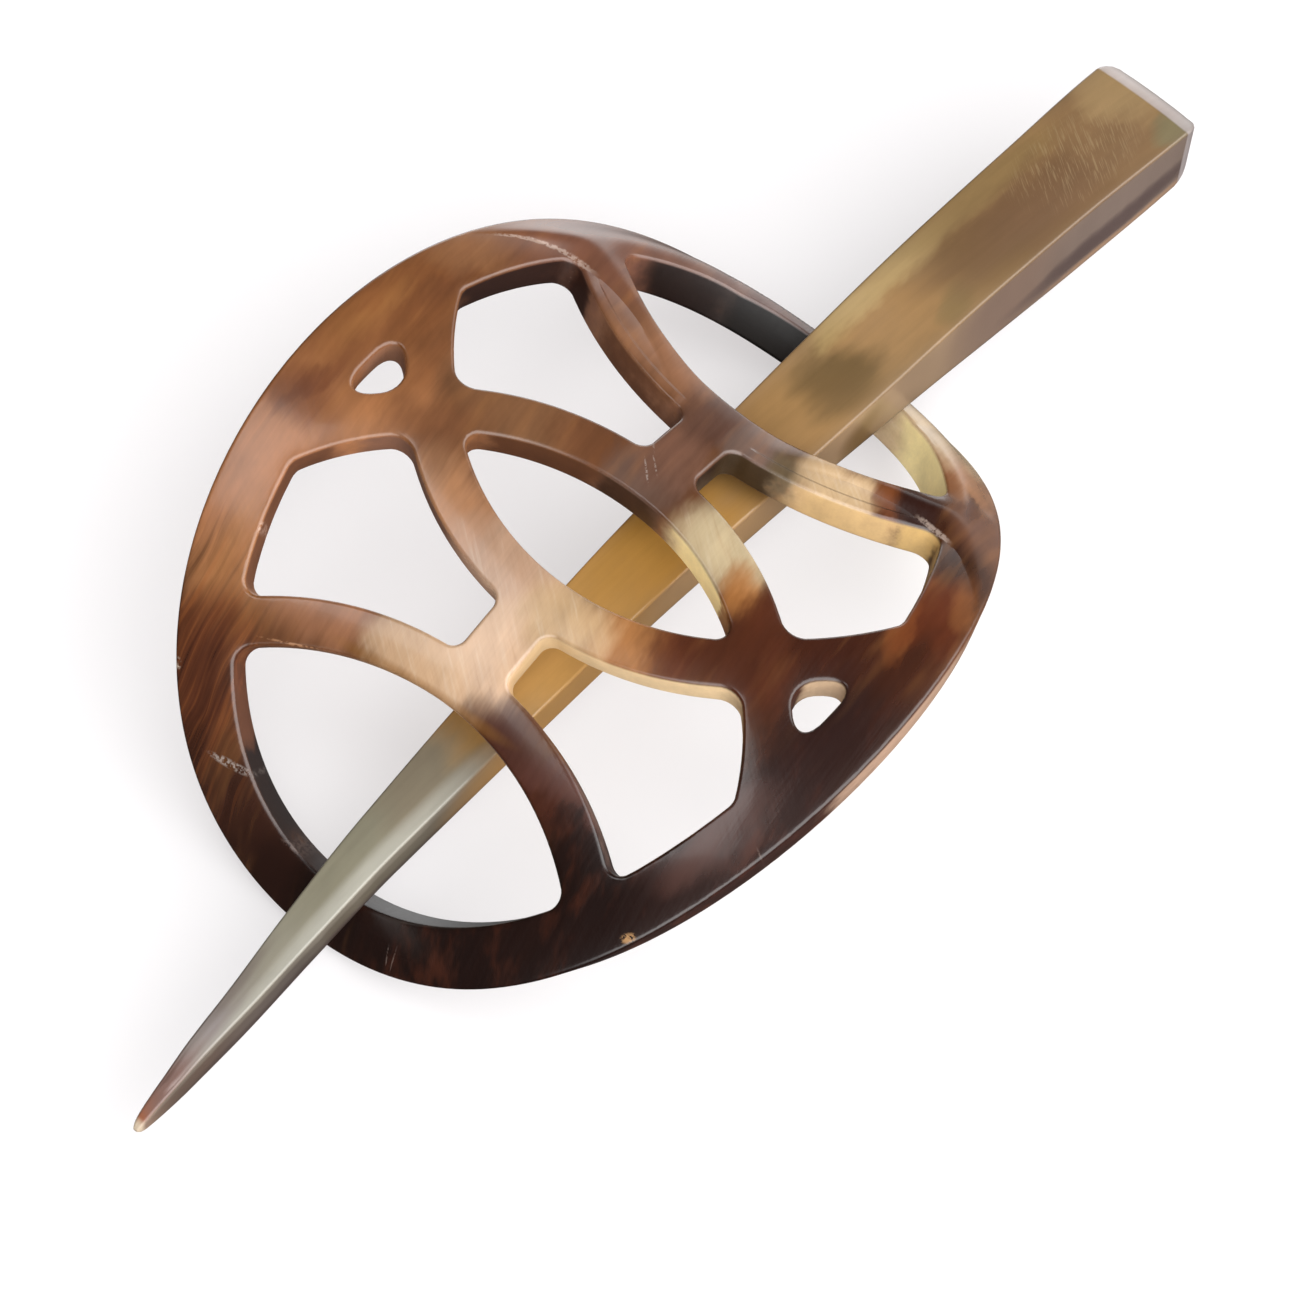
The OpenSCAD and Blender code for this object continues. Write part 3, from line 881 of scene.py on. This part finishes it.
# painted glow: the sides of the openings are made brighter, standing in for light shining through the horn
value = value * (walls * 0.6 + 1.0)
paint = value.node("ShaderNodeHueSaturation", {}, {"Color": paint, "Value": value})
tree.links.new(paint.socket, shader.inputs["Base Color"])
rough = (fine - 0.5) * 0.12 + walls * 0.2 + 0.24
tree.links.new(rough.socket, shader.inputs["Roughness"])
coat = 0.15 - walls * 0.12
tree.links.new(coat.socket, shader.inputs["Coat Weight"])
shader.inputs["Coat Roughness"].default_value = 0.08
from_band = here.node("ShaderNodeVectorMath", {"operation": "DISTANCE"},
                      {0: here, 1: (band_centre, 0, thickness)}, "Value")
across = side.sum("ABSOLUTE")
ledge = from_band.between(35.5, 35.8) * (1 - from_band.between(37, 40)) * across.between(4, 5.5)
ledge = ledge * (1 - across.between(19, 22))
grooves = strokes * 0.01 + fine * 0.01 + ledge * 0.16
bump = grooves.node("ShaderNodeBump", {}, {"Height": grooves, "Strength": 1.0, "Distance": MM})
tree.links.new(bump.socket, shader.inputs["Normal"])
plate.data.materials.append(plate_horn)
print("nodes in the plate's finish:", len(tree.nodes))

# %% [markdown]
# ## The stick's horn
#
# The stick is of a paler, olive horn that lets some light through. From the tip to the butt it goes from orange and
# mauve through grey-green to honey, with a smoky cloud toward the butt. Its paint is laid on places that the mesh
# carries: along the stick and across it for the top, and along the stick and up it for the sides.

# %% Noises of the stick
stick_horn, tree, shader = new_finish("stick_horn")
on_top, on_side = named_place(tree, "top_place"), named_place(tree, "side_place")
up_share = on_top.node("ShaderNodeSeparateXYZ", {}, {0: on_top}, "Z")
along = on_top.node("ShaderNodeSeparateXYZ", {}, {0: on_top}, "X")
coarse = stretched_noise(on_top, -3, 22, 4, detail=2, seed=14)
smoke = stretched_noise(on_top, 8, 6, 2.4, detail=3, seed=2)
fine = stretched_noise(on_top, -3, 18, 0.5, detail=3, seed=19)
hatch = stretched_noise(on_top, 58, 2.4, 0.16, detail=2, seed=8)
pulled = moved(moved(moved(on_top, coarse, 8, 0), smoke, 3, 90), smoke, 3, 0)
side_pulled = moved(moved(on_side, coarse, 8, 0), smoke, 1.5, 90)

# %% [markdown]
# The flat top shows the layers as wide bands that follow one another from the tip to the butt, with the smoky cloud
# over them. The bright amber in the middle is partly painted glow, light from the table shining through the horn under
# the plate. The pale stripe along the front edge of the thin half is a painted sheen, with a darker line near the tip.

# %% Top of the stick
# Columns: x, y from the middle, half length, half width, turn, colour, strength
top_colour_and_glow_patches = [
    (-74.0, 0, 3.2, 9, 0, (180, 106, 66), 1.0),
    (-69.5, 0, 4, 9, 0, (138, 106, 96), 1.0),
    (-61, 0, 6, 9, 0, (146, 134, 130), 1.0),
    (-50, 0, 10, 9, 0, (158, 152, 134), 1.0),
    (-38, 0, 12, 9, 0, (146, 140, 118), 1.0),
    (-29, 0, 6, 9, 0, (142, 130, 108), 1.0),
    # partly painted glow: the two amber rows below stand in for table light shining through the horn
    (-6, 0, 15, 9, 0, (236, 182, 104), 1.0),
    (10, 0, 12, 9, 0, (216, 160, 76), 1.0),
    (25, -1, 8, 8, 0, (176, 134, 80), 1.0),
    (34, -0.5, 4.5, 3.6, 10, (110, 84, 44), 0.85),
    (40.5, 3.8, 4, 1.5, 0, (184, 156, 100), 0.75),
    (44, -0.5, 6, 5, 0, (172, 132, 82), 0.95),
    (47.5, -3.5, 2.8, 1.6, 20, (128, 108, 66), 0.6),
    (46, 4.0, 9, 1.6, -2, (196, 166, 112), 0.85),
    (57, -1, 9, 4.5, -6, (116, 86, 56), 0.85),
    (66, -1.5, 10, 5, -6, (124, 92, 64), 0.85),
    (58, 4.4, 12, 1.6, -4, (150, 122, 78), 0.7),
    (75, 0, 5, 6, 0, (142, 110, 76), 0.9),
    (79, 2.5, 3.5, 4.5, 0, (170, 140, 98), 0.9),
    (79.5, -5, 2.5, 2, 0, (132, 124, 92), 0.8),
]
# painted sheen along the front edge of the top, with a darker line beside it near the tip
painted_sheen_patches = [
    (-46, -2.4, 24, 1.7, -1, (196, 192, 178), 0.9),
    (-61, 1.2, 8, 0.8, 1, (120, 106, 98), 0.7),
]
paint = mix(colour(158, 124, 80), colour(150, 118, 76), coarse)
paint = lay(paint, pulled, top_colour_and_glow_patches, 1.0)
paint = lay(paint, on_top, painted_sheen_patches, 1.0)

# %% [markdown]
# The sides cut through the same layers, but look duller. On the thin half a pale line high up is a painted sheen, and
# a dark one low down is painted shade. The amber in the middle is partly painted glow, as on the top. The change from
# one paint to the other lies on the rounded top edge.

# %% Sides of the stick
# Columns: x, height in tenths of the stick's own, half length, half width, turn, colour, strength
side_colour_sheen_and_shade_patches = [
    (-75.5, 5, 4.5, 9, 0, (204, 168, 146), 1.0),
    (-66, 5, 8, 9, 0, (116, 96, 84), 1.0),
    (-52, 5, 10, 9, 0, (116, 104, 96), 1.0),
    (-36, 5, 14, 9, 0, (124, 114, 98), 1.0),
    # painted sheen high on the side
    (-46, 8.8, 26, 1.5, 0, (164, 154, 138), 0.7),
    # painted shade low on the side
    (-44, 1.2, 26, 2.6, 0, (84, 68, 66), 0.85),
    # partly painted glow: the two amber rows below stand in for table light shining through the horn
    (-10, 5, 16, 9, 0, (222, 168, 100), 1.0),
    (14, 5, 12, 9, 0, (206, 164, 116), 1.0),
    (30, 6, 10, 9, 0, (186, 152, 116), 1.0),
    (35, 4, 3.6, 4.5, 0, (124, 92, 48), 0.9),
    (38.5, 1.6, 3.6, 3, 0, (98, 68, 36), 1.0),
    (44, 6, 8, 9, 0, (182, 152, 122), 1.0),
    (56, 6, 10, 9, 0, (150, 124, 108), 1.0),
    (72, 6, 12, 9, 0, (146, 126, 114), 1.0),
    (70, 3.6, 14, 1.6, 2, (100, 82, 78), 0.9),
    (72, 0.9, 12, 1.1, 0, (196, 156, 124), 0.9),
]
side_paint = mix(colour(150, 126, 108), colour(142, 120, 104), coarse)
side_paint = lay(side_paint, side_pulled, side_colour_sheen_and_shade_patches, 1.0)
paint = mix(side_paint, paint, up_share.between(0.93, 0.985))

# %% [markdown]
# A fan of very fine scratches crosses the top near the butt, and the rounded point has worn through to cream. The cut
# end of the butt is painted pale: a painted reflection of the bright light beside it.

# %% Wear, a painted reflection and gloss of the stick
hatched = patch(pulled, (70, 0), 7.5, 4.5, 0) * up_share.between(0.97, 0.99)
paint = mix(paint, colour(206, 182, 138), hatch.between(0.52, 0.66) * hatched * 0.28)
# painted reflection on the cut end of the butt
paint = mix(paint, colour(202, 190, 188), along.between(80, 80.3) * 0.75)
paint = mix(colour(236, 214, 186), paint, along.between(-74.9, -74.1))
value = (1.0 + (fine - 0.5) * 0.18 + (coarse - 0.5) * 0.3 + (smoke - 0.5) * 0.3) * 0.53
paint = value.node("ShaderNodeHueSaturation", {}, {"Color": paint, "Value": value})
tree.links.new(paint.socket, shader.inputs["Base Color"])
rough = (fine - 0.5) * 0.1 + 0.3
tree.links.new(rough.socket, shader.inputs["Roughness"])
shader.inputs["Coat Weight"].default_value = 0.15
shader.inputs["Coat Roughness"].default_value = 0.15
scratches = fine * 0.01 + hatch * 0.006
bump = scratches.node("ShaderNodeBump", {}, {"Height": scratches, "Strength": 1.0, "Distance": MM})
tree.links.new(bump.socket, shader.inputs["Normal"])
stick.data.materials.append(stick_horn)
print("nodes in the stick's finish:", len(tree.nodes))

# %% [markdown]
# ## Floor, light and camera
#
# The photograph was taken from above on a white table, in soft light, and through a long lens. A plain pale plane is
# the table. It gives off a little light of its own, which keeps the shadows faint, and mirrors don't see it, because
# its white image would veil the dark horn.

# %% The table
start_clean()
bpy.ops.mesh.primitive_plane_add(size=6)
table = bpy.context.object
table.name = "table"
table_paint, tree, shader = new_finish("table_paint")
shader.inputs["Base Color"].default_value = (0.3, 0.295, 0.298, 1)
shader.inputs["Roughness"].default_value = 0.8
shader.inputs["Emission Color"].default_value = (1, 0.975, 0.98, 1)
shader.inputs["Emission Strength"].default_value = 0.56
table.data.materials.append(table_paint)
table.visible_glossy = False

# %% [markdown]
# The sky is bright high up on the camera's side. The steep ends of the arch mirror the dark rest of it, so their horn
# looks deep. A low glow from the right gives the raised end its sheen, a second one from the left lights the sides of
# the openings, and one soft lamp over the table gives the small highlights.

# %% Light
world = bpy.context.scene.world or bpy.data.worlds.new("studio")
bpy.context.scene.world = world
world.use_nodes = True
sky = world.node_tree.nodes["Background"]
direction = Signal(world.node_tree, world.node_tree.nodes.new("ShaderNodeTexCoord").outputs["Generated"])
to_back = direction.node("ShaderNodeSeparateXYZ", {}, {0: direction}, "Y")
height = direction.node("ShaderNodeSeparateXYZ", {}, {0: direction}, "Z")
to_right = direction.node("ShaderNodeSeparateXYZ", {}, {0: direction}, "X")
glow = (1 - to_back.between(-0.35, 0.1)) * height.between(0.05, 0.55) * 4.4 + 0.04
low_left = (1 - to_right.between(-0.75, -0.35)) * (1 - to_back.between(-0.6, -0.25))
glow = glow + low_left * height.between(-0.15, 0.2) * (1 - height.between(0.2, 0.5)) * 3.4
low_right = to_right.between(0.4, 0.7) * (1 - height.between(0.05, 0.42)) * height.between(-0.9, 0.05)
glow = glow + low_right * (to_back.between(0.05, 0.5) * 3 + 0.4)
sky.inputs["Color"].default_value = (1, 1, 1, 1)
world.node_tree.links.new(glow.socket, sky.inputs["Strength"])


def lamp(name, way, distance, size, power):
    """A square soft lamp that lies that way from the object, in metres and watts."""
    light = bpy.data.lights.new(name, "AREA")
    light.size, light.energy = size, power
    lit = bpy.data.objects.new(name, light)
    bpy.context.scene.collection.objects.link(lit)
    lit.location = Vector(way).normalized() * distance
    lit.rotation_euler = Vector(way).to_track_quat("Z", "Y").to_euler()


lamp("lamp_over_the_table", way=(-0.15, 0.4, 0.94), distance=0.63, size=0.25, power=0.6)
bpy.context.scene.view_settings.view_transform = "Standard"

# %% [markdown]
# The camera stands where the photographer's did, as a fit to the plate's rim and net says: high on the tip's side, at
# 856 mm, with a long lens, and rolled a little, which also stands for the slight lean of the real plate.

# %% Camera
turn, rise, roll = math.radians(-56.92), math.radians(62.23), math.radians(7.56)
back = Vector((math.sin(turn) * math.cos(rise), -math.cos(turn) * math.cos(rise), math.sin(rise)))
right = Vector((math.cos(turn), math.sin(turn), 0))
up = back.cross(right)
right, up = right * math.cos(roll) + up * math.sin(roll), up * math.cos(roll) - right * math.sin(roll)
camera = bpy.data.objects.new("camera", bpy.data.cameras.new("camera"))
bpy.context.scene.collection.objects.link(camera)
bpy.context.scene.camera = camera
camera.data.lens, camera.data.sensor_width = 229.3, 36
camera.data.clip_start, camera.data.clip_end = 0.05, 20
aim, distance = Vector((-1.785, -6.064, 4.808)) * MM, 855.8 * MM
stand = aim + back * distance
camera.matrix_world = Matrix.Translation(stand) @ Matrix((right, up, back)).transposed().to_4x4()
print("camera in mm:", [round(x / MM, 1) for x in stand])
